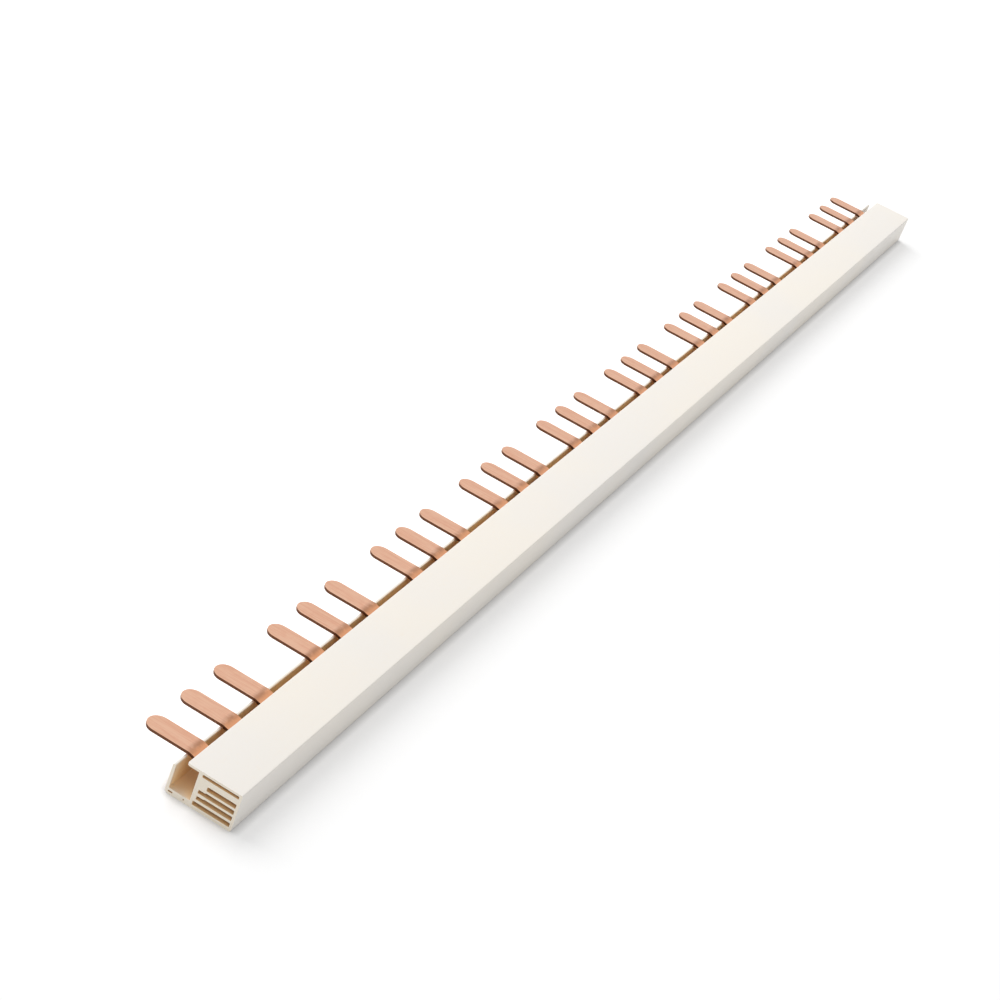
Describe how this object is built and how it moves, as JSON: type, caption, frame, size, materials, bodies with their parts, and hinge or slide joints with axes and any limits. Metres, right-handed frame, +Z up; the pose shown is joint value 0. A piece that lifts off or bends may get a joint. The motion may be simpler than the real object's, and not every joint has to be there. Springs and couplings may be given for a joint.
{
  "type": "comb busbar",
  "caption": "Long insulated comb busbar: flat copper tongues in groups of three stand out of one side of an off-white extruded profile.",
  "frame": {"origin": "centre of the overall box at its base, the flat underside of the profile", "axes": "+X along the bar towards the end with the longer bare stretch, +Y the way the tongues point, +Z up through the lid"},
  "size_m": [0.54, 0.0303, 0.0105],
  "materials": {
    "plastic": "warm off-white, extruded, slightly satin",
    "copper": "bare copper, rolled and brushed along the tongues"
  },
  "bodies": {
    "root": {"insulating_profile": "plastic", "comb_l1": "copper", "comb_l2": "copper", "comb_l3": "copper"}
  },
  "joints": []
}
